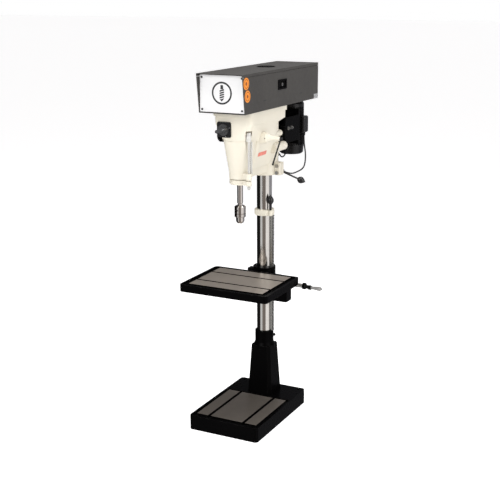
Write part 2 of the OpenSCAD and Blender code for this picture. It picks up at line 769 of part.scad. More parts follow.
module quill() {
    rack_z = feed_z - 2 * PI * rack_m;
    color(steel) difference() {
        bar_z(0, spindle_y, quill_z, quill_top, quill_r);
        bar_z(0, spindle_y, quill_z - 1, quill_top + 1, 18);
        bar_z(0, spindle_y, quill_z - 1, quill_z + 18, 26);
        bar_z(0, spindle_y, quill_top - 18, quill_top + 1, 26);
        // milled flat and the rack cut in it
        brick([-30, 30], [spindle_y + flat_r, spindle_y + 50], [rack_z - 4, quill_top + 1]);
        for (k = [0:19]) translate([0, spindle_y + quill_pitch, rack_z + k * PI * rack_m])
            rotate([90, 0, 90]) linear_extrude(60, center = true) polygon(gap_points(rack_m, 0.5));
    }
}

module quill_collar() {
    a = atan2(depth_y - spindle_y, depth_x);
    color(cream) difference() {
        union() {
            turned(0, spindle_y, [[0, 1282], [50, 1282], [53, 1285], [53, 1305], [51, 1307], [0, 1307]]);
            bar_z(depth_x, depth_y, 1284, 1307, 14);
            translate([0, spindle_y, 1284]) rotate([0, 0, a]) translate([30, -12, 0]) cube([60, 24, 23]);
        }
        bar_z(0, spindle_y, 1280, 1310, quill_r + running);
        translate([0, spindle_y, 1280]) rotate([0, 0, -118]) translate([30, -1.5, 0]) cube([30, 3, 30]);
        bar_z(depth_x, depth_y, 1280, 1310, 5.55);
        bar_y(-18, -150, -118, 1295, 3.6);
    }
    color(steel) bar_y(-18, -142, -122, 1295, 3.5);
}

module depth_rod() {
    color(steel) {
        bar_z(depth_x, depth_y, 1264, 1548, 5.5);
        translate([depth_x, depth_y, 1268]) hex_head(17, 10);
        bar_z(depth_x, depth_y, 1531.4, 1548, 11.5);
    }
}

module depth_nut() {
    color([0.92, 0.92, 0.9]) difference() {
        union() {
            bar_z(depth_x, depth_y, 1504, 1531, 11);
            for (a = [0:15:345]) rotate_at([depth_x, depth_y], a)
                translate([10, -1, 1506]) cube([2.3, 2, 23]);
        }
        bar_z(depth_x, depth_y, 1500, 1535, 5.56);
    }
}

module depth_scale() {
    color([0.88, 0.88, 0.86]) brick([68, 86], [-121, -119], [1345, 1503]);
}

module quill_bearings() {
    color(steel) for (z = [quill_z + 2, quill_top - 17])
        ring_z(0, spindle_y, z, z + 15, 25.98, 12.5 + running);
}

module drive_bearings() {
    color(steel) for (z = [guard_z + 8, 1691])
        ring_z(0, spindle_y, z, z + 13, 27.48, 15 + running);
}

module spindle() {
    color(steel) turned(0, spindle_y, [[0, 1148], [8, 1148], [9.2, chuck_top],
        [12.5, chuck_top + 1], [12.5, 1182], [nose_r, 1184], [nose_r, 1281], [12.5, 1283],
        [12.5, quill_top + 2], [11.2, quill_top + 4], [11.2, 1824], [9.5, 1826], [0, 1826]]);
}

module jaw_path(l, r, z = jaw_tip_z) {
    translate([jaw_axis_r, 0, z]) rotate([0, jaw_tilt, 0]) translate([0, 0, -6]) cylinder(l, r, r);
}

module chuck_body() {
    r = chuck_d / 2;
    color(steel) difference() {
        turned(0, spindle_y, [[0, nose_z], [17, nose_z], [21.4, nose_z + 8], [21.4, sleeve_z - 0.4],
            [24.5, sleeve_z - 0.4], [24.5, sleeve_top + 0.4], [r, sleeve_top + 0.4], [r, chuck_top - 6],
            [r - 7, chuck_top], [0, chuck_top]]);
        translate([0, spindle_y, 1147]) cylinder(chuck_top - 1146.8, 8.05, 9.26);
        bar_z(0, spindle_y, nose_z - 1, nose_z + 10, 8.4);
        for (a = [90, 210, 330]) rotate_at([0, spindle_y], a) jaw_path(56, jaw_r + 0.25);
        for (a = [30, 150, 270]) rotate_at([0, spindle_y], a)
            translate([0, 0, sleeve_top + 16]) rotate([0, 90, 0]) cylinder(40, 3.6, 3.6);
    }
}

// Geared ring that the chuck key turns
module chuck_sleeve() {
    r = chuck_d / 2;
    color(steel) difference() {
        turned(0, spindle_y, [[24.56, sleeve_z], [r - 2, sleeve_z], [r, sleeve_z + 2], [r, sleeve_top - 2],
            [r - 3.5, sleeve_top], [24.56, sleeve_top]]);
        for (a = [0:12:348]) rotate_at([0, spindle_y], a)
            translate([r - 3, -1.1, sleeve_top - 4.5]) cube([6, 2.2, 6]);
        for (a = [6:12:354]) rotate_at([0, spindle_y], a)
            translate([r - 0.7, -0.6, sleeve_z + 3]) cube([3, 1.2, 9]);
    }
}

module jaw(a) {
    color(steel) rotate_at([0, spindle_y], a) difference() {
        jaw_path(jaw_l + 6, jaw_r);
        bar_z(0, 0, jaw_tip_z - 10, jaw_tip_z, 30);
        bar_z(0, 0, jaw_tip_z - 1, jaw_tip_z + 60, jaw_gap / 2);
    }
}
module jaw_a() { jaw(90); }
module jaw_b() { jaw(210); }
module jaw_c() { jaw(330); }

module feed_shaft() {
    color(steel) {
        bar_x(-136, 132, feed_y, feed_z, 12);
        translate([-14, feed_y, feed_z]) rotate([90, 0, 90]) linear_extrude(28) rotate([0, 0, 180])
            polygon(gear_points(rack_m, feed_teeth, 0.3));
    }
}

// Tapered hub and single feed arm
module feed_handle() {
    arm = atan2(-116, -93);
    color(cream) difference() {
        translate([118.4, feed_y, feed_z]) rotate([0, 90, 0]) rotate_extrude()
            polygon([[0, 0], [26, 0], [26, 7], [20, 12], [14, 26], [10.5, 48], [10, 76], [0, 76]]);
        bar_x(118, 132.2, feed_y, feed_z, 12.02);
    }
    color(steel) {
        bar_x(194.3, 204, feed_y, feed_z, 9);
        translate([197, feed_y, feed_z]) rotate([arm - 90, 0, 0]) {
            cylinder(feed_arm_l - 24, 4, 4);
            translate([0, 0, feed_arm_l - 25]) cylinder(22, 4, 5.5);
            translate([0, 0, feed_arm_l - 5]) sphere(6);
        }
    }
}

// Toothed bar that turns about the column with the table
module column_rack() {
    z0 = pedestal_top + 1;
    z1 = collar_z - 0.5;
    pitch = PI * rack_m;
    steps = floor((z1 - z0 - 6) / pitch);
    z_first = pinion_z - pitch * floor((pinion_z - z0 - 6) / pitch);
    color(steel) difference() {
        brick([rack_x, rack_x + rack_t], [column_y - 11, column_y + 11], [z0, z1]);
        for (k = [0:steps]) if (z_first + k * pitch < z1 - 4)
            translate([rack_pitch_x, column_y, z_first + k * pitch]) rotate([90, 0, 0])
                linear_extrude(60, center = true) polygon(gap_points(rack_m, 0.5));
    }
}

module table_bracket() {
    color(black) difference() {
        union() {
            bar_z(0, column_y, bracket_z, bracket_top, 60);
            block([-92, -30], [column_y - 22, column_y + 22], [690, 770], 6);
            block([40, 156], [132, 200], [bracket_z, 704], 8);
            block([66, 156], [132, 200], [618, 660], 8);
            block([38, 98], [102, 200], [660, 748], 6);
            bar_y(0, 52.6, 150, pivot_z, 34.4);
            hull() {
                block([-40, 40], [101, 118], [660, 738], 6, $fn = 32);
                block([-55, 55], [140, 150], [656, 780], 6, $fn = 32);
            }
            bar_x(90, 200, crank_y, crank_z, 16);
        }
        bar_z(0, column_y, bracket_z - 50, bracket_top + 5, col_r + running);
        // way for the rack, and the pockets for the gears
        brick([30, rack_x + rack_t + 1], [column_y - 12, column_y + 12], [600, bracket_top + 5]);
        bar_y(pinion_x, column_y - 12, column_y + 12, pinion_z, 18.5);
        bar_y(pinion_x, 110, column_y + 14, pinion_z, 7.1);
        bar_y(pinion_x, 108, 132, pinion_z, wheel_r + 1);
        bar_x(40, 202, crank_y, crank_z, 8 + running);
        bar_x(45, 92, crank_y, crank_z, worm_r + 1);
        brick([-100, -30], [column_y - 2.5, column_y + 2.5], [680, 780]);
        for (z = [712, 750]) bar_y(-76, column_y - 30, column_y + 30, z, 6.1);
        bar_y(0, 40, 79, pivot_z, 10.1);
    }
    color(steel) for (z = [712, 750]) {
        bar_y(-76, column_y - 34, column_y + 26, z, 6);
        translate([-76, column_y - 22, z]) rotate([90, 0, 0]) hex_head(19, 8);
    }
}

// Bolt on which the table tilts
module tilt_bolt() {
    color(steel) {
        bar_y(0, 8, 79, pivot_z, 10);
        translate([0, 15.5, pivot_z]) rotate([90, 0, 0]) hex_head(28, 8);
    }
}

// Worm wheel and rack pinion on one shaft
module elevating_gear() {
    color(steel) {
        bar_y(pinion_x, 111, column_y + 13, pinion_z, 7);
        translate([pinion_x, column_y + 11, pinion_z]) rotate([90, 0, 0]) linear_extrude(22)
            rotate([0, 0, 180]) polygon(gear_points(rack_m, pinion_teeth, 0.3));
        difference() {
            bar_y(pinion_x, 112, 128, pinion_z, wheel_r);
            for (a = [0:24:336]) translate([pinion_x, 120, pinion_z]) rotate([0, a, 0])
                translate([wheel_r, 0, 0]) rotate([90, 0, 0]) cylinder(20, 3, 3, center = true);
        }
    }
}

module crank() {
    color(steel) {
        bar_x(42, crank_x + 1, crank_y, crank_z, 8);
        for (x = [50:7:86]) bar_x(x, x + 3, crank_y, crank_z, worm_r);
        bar_x(202.4, crank_x + 1, crank_y, crank_z, 10.5);
    }
    color(black) difference() {
        union() {
            bar_x(crank_x, crank_x + 14, crank_y, crank_z, 17);
            bar_x(crank_x, crank_x + 14, grip_y, grip_z, 12);
            translate([crank_x, crank_y, crank_z]) rotate([arm_drop, 0, 0])
                translate([0, 0, -9]) cube([14, crank_r, 18]);
        }
        bar_x(crank_x - 1, crank_x + 15, grip_y, grip_z, 5);
    }
    color(steel) {
        bar_x(crank_x, crank_x + 15 + grip_l, grip_y, grip_z, 4.98);
        bar_x(crank_x + 15 + grip_l, crank_x + 18 + grip_l, grip_y, grip_z, 7);
    }
}

grip_shape = [[0, 0], [8, 0], [8.5, 0.06], [7.6, 0.19], [8.6, 0.4], [10.6, 0.71], [11.2, 0.9],
    [9.5, 0.97], [8, 1], [0, 1]];
module crank_grip() {
    color([0.35, 0.35, 0.35]) difference() {
        translate([crank_x + 14.6, grip_y, grip_z]) rotate([0, 90, 0]) rotate_extrude()
            polygon([for (p = grip_shape) [p[0], p[1] * grip_l]]);
        bar_x(crank_x, crank_x + 100, grip_y, grip_z, 5.06);
    }
}

module table() {
    x = table_w / 2;
    y0 = table_y - table_d / 2;
    y1 = table_y + table_d / 2;
    z0 = table_z - table_h;
    color(black) difference() {
        union() {
            difference() {
                block([-x, x], [y0, y1], [z0, table_z], 18);
                // drip channel round the working face
                difference() {
                    block([-x + 11, x - 11], [y0 + 11, y1 - 9], [table_z - 10, table_z + 1], 10);
                    brick([-208, 208], [-256, 75], [z0, table_z + 2]);
                }
                // hollow underside, ribbed under each slot
                difference() {
                    block([-x + 11, x - 11], [y0 + 11, y1 - 11], [z0 - 1, table_z - 24], 8);
                    for (y = table_slot_y) brick([-x, x], [y - 24, y + 24], [z0, table_z]);
                    brick([-60, 60], [-180, 60], [z0, table_z]);
                }
            }
            // trunnion that swings on the bracket's face
            hull() {
                translate([0, 16, pivot_z]) rotate([-90, 0, 0]) cylinder(36, 46, 46, $fn = 32);
                brick([-60, 60], [16, 52], [z0, z0 + 2]);
            }
        }
        for (y = table_slot_y) translate([0, y, table_z]) t_slot(424, 14, 25, 24);
        bar_y(0, 0, 60, pivot_z, 10 + running);
    }
}

base_plate();
pedestal();
pedestal_bolts();
column();
column_lock_bolt();
column_collar();
collar_knob();
head_casting();
head_clamp_bolts();
head_clamp_lever();
return_spring_cap();
belt_guard();
guard_screws();
guard_lid();
lid_cap();
lid_hinge();
hinge_pin();
upright_front_plate();  // front_plate
latch_bezel();
latch_paddle();
safety_discs();
rear_plate();
side_label();
switch_plate();
switch_knob();
motor_frame();
motor_fan_cowl();
motor_terminal_box();
motor_bracket();
motor_slide_rods();
motor_leads();
cord_gland();
motor_pulley();
idler_post();
idler_pulley();
bearing_housing();
spindle_pulley();
drive_belts();
quill();
quill_collar();
depth_rod();
depth_nut();
depth_scale();
quill_bearings();
drive_bearings();
spindle();
chuck_body();
chuck_sleeve();
jaw_a();
jaw_b();
jaw_c();
feed_shaft();
feed_handle();
column_rack();
table_bracket();
tilt_bolt();
elevating_gear();
crank();
crank_grip();
table();
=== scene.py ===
"""Floor drill press: studio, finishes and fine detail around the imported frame."""
import math

import bpy
from mathutils import Matrix, Vector


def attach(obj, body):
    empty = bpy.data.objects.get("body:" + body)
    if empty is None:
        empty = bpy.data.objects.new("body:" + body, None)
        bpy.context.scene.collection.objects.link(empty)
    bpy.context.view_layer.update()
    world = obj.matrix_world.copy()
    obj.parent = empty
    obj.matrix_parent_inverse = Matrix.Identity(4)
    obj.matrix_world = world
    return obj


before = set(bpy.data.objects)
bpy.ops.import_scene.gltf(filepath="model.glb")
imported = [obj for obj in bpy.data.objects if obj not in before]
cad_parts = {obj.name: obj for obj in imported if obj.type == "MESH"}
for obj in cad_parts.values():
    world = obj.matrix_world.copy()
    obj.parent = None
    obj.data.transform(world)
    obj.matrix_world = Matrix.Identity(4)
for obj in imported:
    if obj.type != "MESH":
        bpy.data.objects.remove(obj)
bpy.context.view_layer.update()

# Faces of the CAD nodes that the fine detail stands on, in metres
FRONT_Y = -0.268            # front plate
SIDE_X = 0.124              # right-hand wall of the belt guard
SWITCH_PLATE_Y = -0.174
SWITCH_KNOB_Y = -0.213
TERMINAL_BOX_X = 0.084
TABLE_TOP = 0.779
BASE_TOP = 0.077

# Centres of what the fine detail goes round
EMBLEM_CENTRE = (0.0, 1.748)          # x, z
SWITCH_CENTRE = (-0.043, 1.560)       # x, z
SWITCH_TURN = math.radians(18)        # how far the switch's bar leans at rest
TERMINAL_CENTRE = (0.519, 1.512)      # y, z
REAR_PLATE_Y = 0.560
LATCH_CENTRE = (0.138, 1.760)         # y, z
FEED_AXIS_Y = -0.02975
FEED_AXIS_Z = 1.512
FEED_HUB_RADIUS = 0.026
FEED_HUB_MIDDLE_X = 0.1219


# ---------------------------------------------------------------- studio

CAMERA_PLACE = (2.328, -4.519, 2.244)
CAMERA_AZIMUTH, CAMERA_PITCH, CAMERA_ROLL = map(math.radians, (27.16, 14.62, -0.2))
LENS_MM, SENSOR_MM = 73.2, 36.0


def make_camera():
    """Camera at the photograph's angle, a little right of the machine and above its middle."""
    data = bpy.data.cameras.new("camera")
    data.lens = LENS_MM
    data.sensor_width = SENSOR_MM
    camera = bpy.data.objects.new("camera", data)
    turn = (Matrix.Rotation(CAMERA_AZIMUTH, 4, "Z")
            @ Matrix.Rotation(math.pi / 2 - CAMERA_PITCH, 4, "X")
            @ Matrix.Rotation(CAMERA_ROLL, 4, "Z"))
    camera.matrix_world = Matrix.Translation(CAMERA_PLACE) @ turn
    bpy.context.scene.collection.objects.link(camera)
    bpy.context.scene.camera = camera


def area_light(name, place, target, size, power):
    """Rectangular soft box at place, aimed at target; size in metres, power in watts."""
    data = bpy.data.lights.new(name, "AREA")
    data.shape = "RECTANGLE"
    data.size, data.size_y = size
    data.energy = power
    light = bpy.data.objects.new(name, data)
    light.location = place
    aim = Vector(target) - Vector(place)
    light.rotation_euler = aim.to_track_quat("-Z", "Y").to_euler()
    bpy.context.scene.collection.objects.link(light)


def make_world():
    """White to the camera; to the machine, a white room with dark gaps between its walls."""
    world = bpy.data.worlds.new("studio")
    bpy.context.scene.world = world
    world.use_nodes = True
    tree = world.node_tree
    tree.nodes.clear()
    new, link = tree.nodes.new, tree.links.new
    output = new("ShaderNodeOutputWorld")
    mix = new("ShaderNodeMixShader")
    seen = new("ShaderNodeBackground")
    seen.inputs["Color"].default_value = (1, 1, 1, 1)
    seen.inputs["Strength"].default_value = 1.0
    room = new("ShaderNodeBackground")
    room.inputs["Strength"].default_value = ROOM_LEVEL
    path = new("ShaderNodeLightPath")
    direction = new("ShaderNodeTexCoord")
    split = new("ShaderNodeSeparateXYZ")
    bearing = new("ShaderNodeMath")
    bearing.operation = "ARCTAN2"
    scale = new("ShaderNodeMapRange")
    scale.inputs["From Min"].default_value = -math.pi
    scale.inputs["From Max"].default_value = math.pi
    walls = new("ShaderNodeValToRGB")
    fill_ramp(walls, ROOM_WALLS)
    link(direction.outputs["Generated"], split.inputs[0])
    link(split.outputs["Y"], bearing.inputs[0])
    link(split.outputs["X"], bearing.inputs[1])
    link(bearing.outputs[0], scale.inputs["Value"])
    link(scale.outputs[0], walls.inputs["Fac"])
    link(walls.outputs["Color"], room.inputs["Color"])
    link(path.outputs["Is Camera Ray"], mix.inputs["Fac"])
    link(room.outputs[0], mix.inputs[1])
    link(seen.outputs[0], mix.inputs[2])
    link(mix.outputs[0], output.inputs["Surface"])


def fill_ramp(node, stops):
    """Sets a colour ramp's stops, given as (place, colour)."""
    ramp = node.color_ramp
    while len(ramp.elements) > 1:
        ramp.elements.remove(ramp.elements[-1])
    for i, (place, color) in enumerate(stops):
        element = ramp.elements[0] if i == 0 else ramp.elements.new(place)
        element.position = place
        element.color = (*color, 1)


def grey(v):
    return (v, v, v)


# Colour of the room's walls by bearing, as a fraction of a turn from -X through -Y, +X and +Y
DARK, PALE, BROWN, WHITE, COOL = (grey(0.012), grey(0.85), (0.27, 0.235, 0.215),
                                  (1.25, 1.22, 1.2), (0.42, 0.42, 0.45))
ROOM_WALLS = [(0.000, DARK), (0.135, DARK), (0.150, PALE), (0.228, PALE), (0.245, BROWN),
              (0.370, BROWN), (0.385, WHITE), (0.520, WHITE), (0.540, COOL), (0.810, COOL),
              (0.840, DARK), (1.000, DARK)]
ROOM_LEVEL = 0.8

FLOOR_HALF_SIZE = 60.0
FLOOR_GREY = 0.93
FLOOR_GLOW = 0.66           # lifts the floor to the background's white


def make_studio():
    """World, three soft boxes and a pale floor."""
    make_world()
    area_light("key", (-0.8, -4.4, 3.4), (0, 0, 1.1), (2.4, 2.0), 120)
    area_light("top", (0.2, 0.2, 4.4), (0, 0, 0.9), (3.0, 3.0), 100)
    area_light("side", (3.8, -0.6, 2.6), (0, 0, 1.2), (1.6, 2.6), 34)
    h = FLOOR_HALF_SIZE
    mesh = bpy.data.meshes.new("floor")
    mesh.from_pydata([(-h, -h, 0), (h, -h, 0), (h, h, 0), (-h, h, 0)], [], [(0, 1, 2, 3)])
    floor = bpy.data.objects.new("floor", mesh)
    bpy.context.scene.collection.objects.link(floor)
    s = Shader("floor_sweep")
    s.set(color=grey(FLOOR_GREY), roughness=0.9)
    s.bsdf.inputs["Emission Color"].default_value = (1, 1, 1, 1)
    s.bsdf.inputs["Emission Strength"].default_value = FLOOR_GLOW
    mesh.materials.append(s.material)
    floor.visible_glossy = False


# ---------------------------------------------------------------- materials

class Shader:
    """A procedural material built round one principled shader, in the object's own coordinates."""

    def __init__(self, name):
        self.material = bpy.data.materials.new(name)
        self.material.use_nodes = True
        self.tree = self.material.node_tree
        self.tree.nodes.clear()
        self.bsdf = self.tree.nodes.new("ShaderNodeBsdfPrincipled")
        output = self.tree.nodes.new("ShaderNodeOutputMaterial")
        self.link(self.bsdf.outputs[0], output.inputs["Surface"])
        self.place = self.tree.nodes.new("ShaderNodeTexCoord").outputs["Object"]

    def link(self, a, b):
        self.tree.links.new(a, b)

    def feed(self, value, socket):
        """Links a node output to a socket, or sets a constant on it."""
        if isinstance(value, bpy.types.NodeSocket):
            self.link(value, socket)
        elif isinstance(value, tuple) and len(value) == 3 and len(socket.default_value) == 4:
            socket.default_value = (*value, 1)
        else:
            socket.default_value = value

    def set(self, color=None, roughness=None, metallic=None, specular=None, coat=None):
        for value, socket in ((color, "Base Color"), (roughness, "Roughness"),
                              (metallic, "Metallic"), (specular, "Specular IOR Level"),
                              (coat, "Coat Weight")):
            if value is not None:
                self.feed(value, self.bsdf.inputs[socket])

    def stretched(self, scale):
        """The object's coordinates, scaled per axis."""
        node = self.tree.nodes.new("ShaderNodeMapping")
        node.inputs["Scale"].default_value = scale
        self.link(self.place, node.inputs["Vector"])
        return node.outputs[0]

    def noise(self, scale, detail=3.0, rough=0.55, place=None):
        node = self.tree.nodes.new("ShaderNodeTexNoise")
        node.inputs["Scale"].default_value = scale
        node.inputs["Detail"].default_value = detail
        node.inputs["Roughness"].default_value = rough
        self.link(place or self.place, node.inputs["Vector"])
        return node.outputs["Fac"]

    def edges(self, radius):
        """The normal with its edges rounded, and a mask of where that differs from the face."""
        node = self.tree.nodes.new("ShaderNodeBevel")
        node.samples = 4
        node.inputs["Radius"].default_value = radius
        face = self.tree.nodes.new("ShaderNodeNewGeometry")
        dot = self.tree.nodes.new("ShaderNodeVectorMath")
        dot.operation = "DOT_PRODUCT"
        self.link(node.outputs[0], dot.inputs[0])
        self.link(face.outputs["Normal"], dot.inputs[1])
        return node.outputs[0], self.span(dot.outputs["Value"], 0.98, 0.8, 0, 1)

    def ramp(self, value, stops):
        node = self.tree.nodes.new("ShaderNodeValToRGB")
        fill_ramp(node, stops)
        self.link(value, node.inputs["Fac"])
        return node.outputs["Color"]

    def span(self, value, low, high, out_low, out_high):
        """Maps low..high of value to out_low..out_high, held at both ends."""
        node = self.tree.nodes.new("ShaderNodeMapRange")
        for socket, number in (("From Min", low), ("From Max", high),
                               ("To Min", out_low), ("To Max", out_high)):
            node.inputs[socket].default_value = number
        self.link(value, node.inputs["Value"])
        return node.outputs[0]

    def math(self, operation, a, b=None):
        node = self.tree.nodes.new("ShaderNodeMath")
        node.operation = operation
        self.feed(a, node.inputs[0])
        if b is not None:
            self.feed(b, node.inputs[1])
        return node.outputs[0]

    def mix(self, factor, a, b):
        node = self.tree.nodes.new("ShaderNodeMix")
        node.data_type = "RGBA"
        self.feed(factor, node.inputs["Factor"])
        self.feed(a, node.inputs["A"])
        self.feed(b, node.inputs["B"])
        return node.outputs["Result"]

    def blend_number(self, factor, a, b):
        node = self.tree.nodes.new("ShaderNodeMix")
        self.feed(factor, node.inputs["Factor"])
        self.feed(a, node.inputs["A"])
        self.feed(b, node.inputs["B"])
        return node.outputs["Result"]

    def xyz(self):
        node = self.tree.nodes.new("ShaderNodeSeparateXYZ")
        self.link(self.place, node.inputs[0])
        return node.outputs["X"], node.outputs["Y"], node.outputs["Z"]

    def between(self, value, low, high):
        """1 where value lies between low and high."""
        inside = self.math("GREATER_THAN", value, low)
        return self.math("MULTIPLY", inside, self.math("LESS_THAN", value, high))

    def over(self, mask, color, metallic, roughness):
        """Where mask is 1 the surface is another finish, such as bare metal."""
        base, rough = self.bsdf.inputs["Base Color"], self.bsdf.inputs["Roughness"]
        old_color, old_rough = base.links[0].from_socket, rough.links[0].from_socket
        self.set(color=self.mix(mask, old_color, color),
                 metallic=self.math("MULTIPLY", mask, metallic),
                 roughness=self.blend_number(mask, old_rough, roughness))
        return self

    def bump(self, height, depth, strength=1.0, after=None):
        """Bump of the given depth in metres, on top of the normal in after."""
        node = self.tree.nodes.new("ShaderNodeBump")
        node.inputs["Strength"].default_value = strength
        node.inputs["Distance"].default_value = depth
        self.link(height, node.inputs["Height"])
        if after is not None:
            self.link(after, node.inputs["Normal"])
        self.link(node.outputs[0], self.bsdf.inputs["Normal"])


def scaled(color, factor):
    return tuple(min(1.0, c * factor) for c in color)


def paint(name, color, roughness, cast_scale, cast_depth, patch=0.12, coat=0.0, specular=0.5,
          edge_rub_and_highlight=0.15):
    """Sprayed paint on a casting: faint patches, an uneven skin, and edges tinted towards a grey
    that is partly wear and, on dark paint, partly a painted highlight.
    """
    s = Shader(name)
    rounded, edge = s.edges(0.0014)
    patches = s.noise(6, 4)
    tone = s.ramp(patches, [(0.25, scaled(color, 1 - patch)), (0.75, scaled(color, 1 + patch))])
    specks = s.span(s.noise(420, 2), 0.66, 0.74, 0, 0.35)
    skin = s.mix(specks, tone, scaled(color, 0.8))
    # Edge tint: real wear, and on the black paints also a painted highlight along the rims, lighter
    # than the paint.
    rubbed_and_lit_edges = s.math("MULTIPLY", edge, s.span(s.noise(45, 4), 0.4, 0.65, 0, 1))
    wear_and_highlight = s.math("MULTIPLY", rubbed_and_lit_edges, edge_rub_and_highlight)
    s.set(color=s.mix(wear_and_highlight, skin, (0.42, 0.40, 0.37)), coat=coat, specular=specular,
          roughness=s.span(s.noise(60, 5), 0.2, 0.8, roughness - 0.06, roughness + 0.08))
    s.bump(s.noise(cast_scale, 3), cast_depth, after=rounded)
    return s


def powder_coat(name, color):
    """Fine wrinkled powder coat on sheet metal, with a painted highlight along its edges."""
    s = Shader(name)
    rounded, edge = s.edges(0.0012)
    grain = s.noise(900, 2)
    tone = s.ramp(s.noise(5, 3), [(0.3, scaled(color, 0.9)), (0.7, scaled(color, 1.12))])
    # Painted highlight: the edges are lightened towards 2.2 times the coat's colour.
    tone = s.mix(s.math("MULTIPLY", edge, 0.3), tone, scaled(color, 2.2))
    s.set(color=s.mix(s.span(grain, 0.35, 0.75, 0, 0.3), tone, scaled(color, 1.5)),
          roughness=s.span(s.noise(40, 4), 0.2, 0.8, 0.48, 0.62))
    s.bump(grain, 0.0002, 0.6, after=rounded)
    return s


def machined(name, color, roughness, lines, depth=0.00004, metallic=0.9):
    """Bare metal with the fine lines that cutting leaves; lines scales the pattern per axis."""
    s = Shader(name)
    cut = s.noise(1.0, 4, 0.7, s.stretched(lines))
    stain = s.noise(14, 5, 0.65)
    tone = s.ramp(stain, [(0.2, scaled(color, 0.78)), (0.6, color), (0.9, scaled(color, 1.1))])
    tone = s.mix(s.span(cut, 0.3, 0.7, 0, 0.35), tone, scaled(color, 0.62))
    s.set(color=tone, metallic=metallic,
          roughness=s.span(s.noise(55, 5), 0.2, 0.8, roughness - 0.06, roughness + 0.1))
    s.bump(cut, depth)
    return s


make_camera()
make_studio()
bpy.context.scene.view_settings.view_transform = "Standard"

BLACK = (0.0016, 0.0015, 0.0016)
CREAM = (0.75, 0.705, 0.595)
CHARCOAL = (0.047, 0.044, 0.040)
IRON = (0.34, 0.30, 0.26)
STEEL = (0.40, 0.39, 0.37)


def black_casting(name):
    return paint(name, BLACK, 0.28, 260, 0.0002, specular=0.02, edge_rub_and_highlight=0.14)


def cream_casting(name):
    return paint(name, CREAM, 0.36, 180, 0.0003, 0.04, 0.15, edge_rub_and_highlight=0.2)


black_paint = black_casting("black_paint")
# Painted sheen: the motor's black is a copy of the castings' black paint, four times lighter, with
# more specular.
motor_paint = paint("motor_paint", scaled(BLACK, 4), 0.26, 260, 0.0001, specular=0.3, edge_rub_and_highlight=0.14)
cream_paint = cream_casting("cream_paint")
charcoal = powder_coat("charcoal_coat", CHARCOAL)
turned = machined("turned_steel", STEEL, 0.28, (30, 30, 1400))
ground = machined("ground_steel", STEEL, 0.22, (400, 400, 900))


def chrome(name, color, roughness):
    """Polished bar: faint rings from grinding and a haze of handling marks."""
    s = Shader(name)
    rings = s.noise(1.0, 3, 0.6, s.stretched((12, 12, 900)))
    haze = s.noise(22, 5, 0.6)
    s.set(color=s.mix(s.span(haze, 0.35, 0.75, 0, 0.25), color, scaled(color, 0.75)),
          metallic=1.0, roughness=s.span(haze, 0.25, 0.8, roughness * 0.6, roughness * 1.8))
    s.bump(rings, 0.00001)
    return s


column_chrome = chrome("column_chrome", (0.74, 0.72, 0.69), 0.10)
chuck_chrome = chrome("chuck_chrome", (0.66, 0.62, 0.59), 0.09)


def working_face(name, top, boxes, metal):
    """Black casting whose ground working faces are bare: boxes are [x0, x1, y0, y1] in metres."""
    s = black_casting(name)
    x, y, z = s.xyz()
    area = None
    for x0, x1, y0, y1 in boxes:
        part = s.math("MULTIPLY", s.between(x, x0, x1), s.between(y, y0, y1))
        area = part if area is None else s.math("MAXIMUM", area, part)
    bare = s.math("MULTIPLY", area, s.math("GREATER_THAN", z, top - 0.0003))
    strokes = s.noise(1.0, 4, 0.7, s.stretched((9, 700, 9)))
    swirl = s.noise(7, 5, 0.6)
    iron = s.ramp(swirl, [(0.25, scaled(metal, 0.86)), (0.55, metal), (0.8, scaled(metal, 1.12))])
    iron = s.mix(s.span(strokes, 0.3, 0.7, 0, 0.3), iron, scaled(metal, 0.72))
    s.over(bare, iron, 0.4, s.span(swirl, 0.2, 0.8, 0.26, 0.42))
    old_bump = s.bsdf.inputs["Normal"].links[0].from_node
    height = s.blend_number(bare, old_bump.inputs["Height"].links[0].from_socket,
                            s.math("MULTIPLY", strokes, 0.12))
    s.link(height, old_bump.inputs["Height"])
    return s


table_iron = working_face("table_casting", TABLE_TOP, [(-0.2085, 0.2085, -0.2565, 0.0755)], IRON)
base_iron = working_face("base_casting", BASE_TOP, [(-0.1725, 0.1725, -0.2575, 0.1005)],
                         scaled(IRON, 0.55))


def moulded(name, color, roughness, grain=700, depth=0.00008, specular=0.5):
    """Moulded plastic or rubber with a fine grain."""
    s = Shader(name)
    tone = s.ramp(s.noise(18, 3), [(0.3, scaled(color, 0.85)), (0.7, scaled(color, 1.2))])
    s.set(color=tone, specular=specular,
          roughness=s.span(s.noise(70, 4), 0.2, 0.8, roughness - 0.05, roughness + 0.1))
    s.bump(s.noise(grain, 2), depth)
    return s


# Painted highlight: the switch's knob is a lighter copy of the plate's black plastic, so it reads
# against the plate.
switch_plastic = moulded("switch_plastic", (0.045, 0.045, 0.047), 0.24, 300, 0.00004)
knob_plastic = moulded("knob_plastic", (0.012, 0.012, 0.013), 0.22, 300, 0.00004)
black_plastic = moulded("black_plastic", (0.012, 0.012, 0.013), 0.34, specular=0.2)
grey_plastic = moulded("grip_plastic", (0.24, 0.235, 0.23), 0.34)
rubber = moulded("rubber", (0.016, 0.016, 0.017), 0.6, 500, 0.0001)


def brushed_plate():
    """Bright front plate, brushed from side to side."""
    s = Shader("brushed_plate")
    strokes = s.noise(1.0, 4, 0.7, s.stretched((4, 4, 1500)))
    tone = s.ramp(s.noise(3, 2), [(0.3, (0.70, 0.70, 0.71)), (0.7, (0.80, 0.80, 0.80))])
    s.set(color=s.mix(s.span(strokes, 0.3, 0.7, 0, 0.25), tone, (0.60, 0.60, 0.61)),
          metallic=0.1, roughness=s.span(strokes, 0.2, 0.8, 0.34, 0.5))
    s.bump(strokes, 0.00002)
    return s


front_silver = brushed_plate()


RING = (0.0190, 0.0222)
DOT_RADIUS = 0.0085


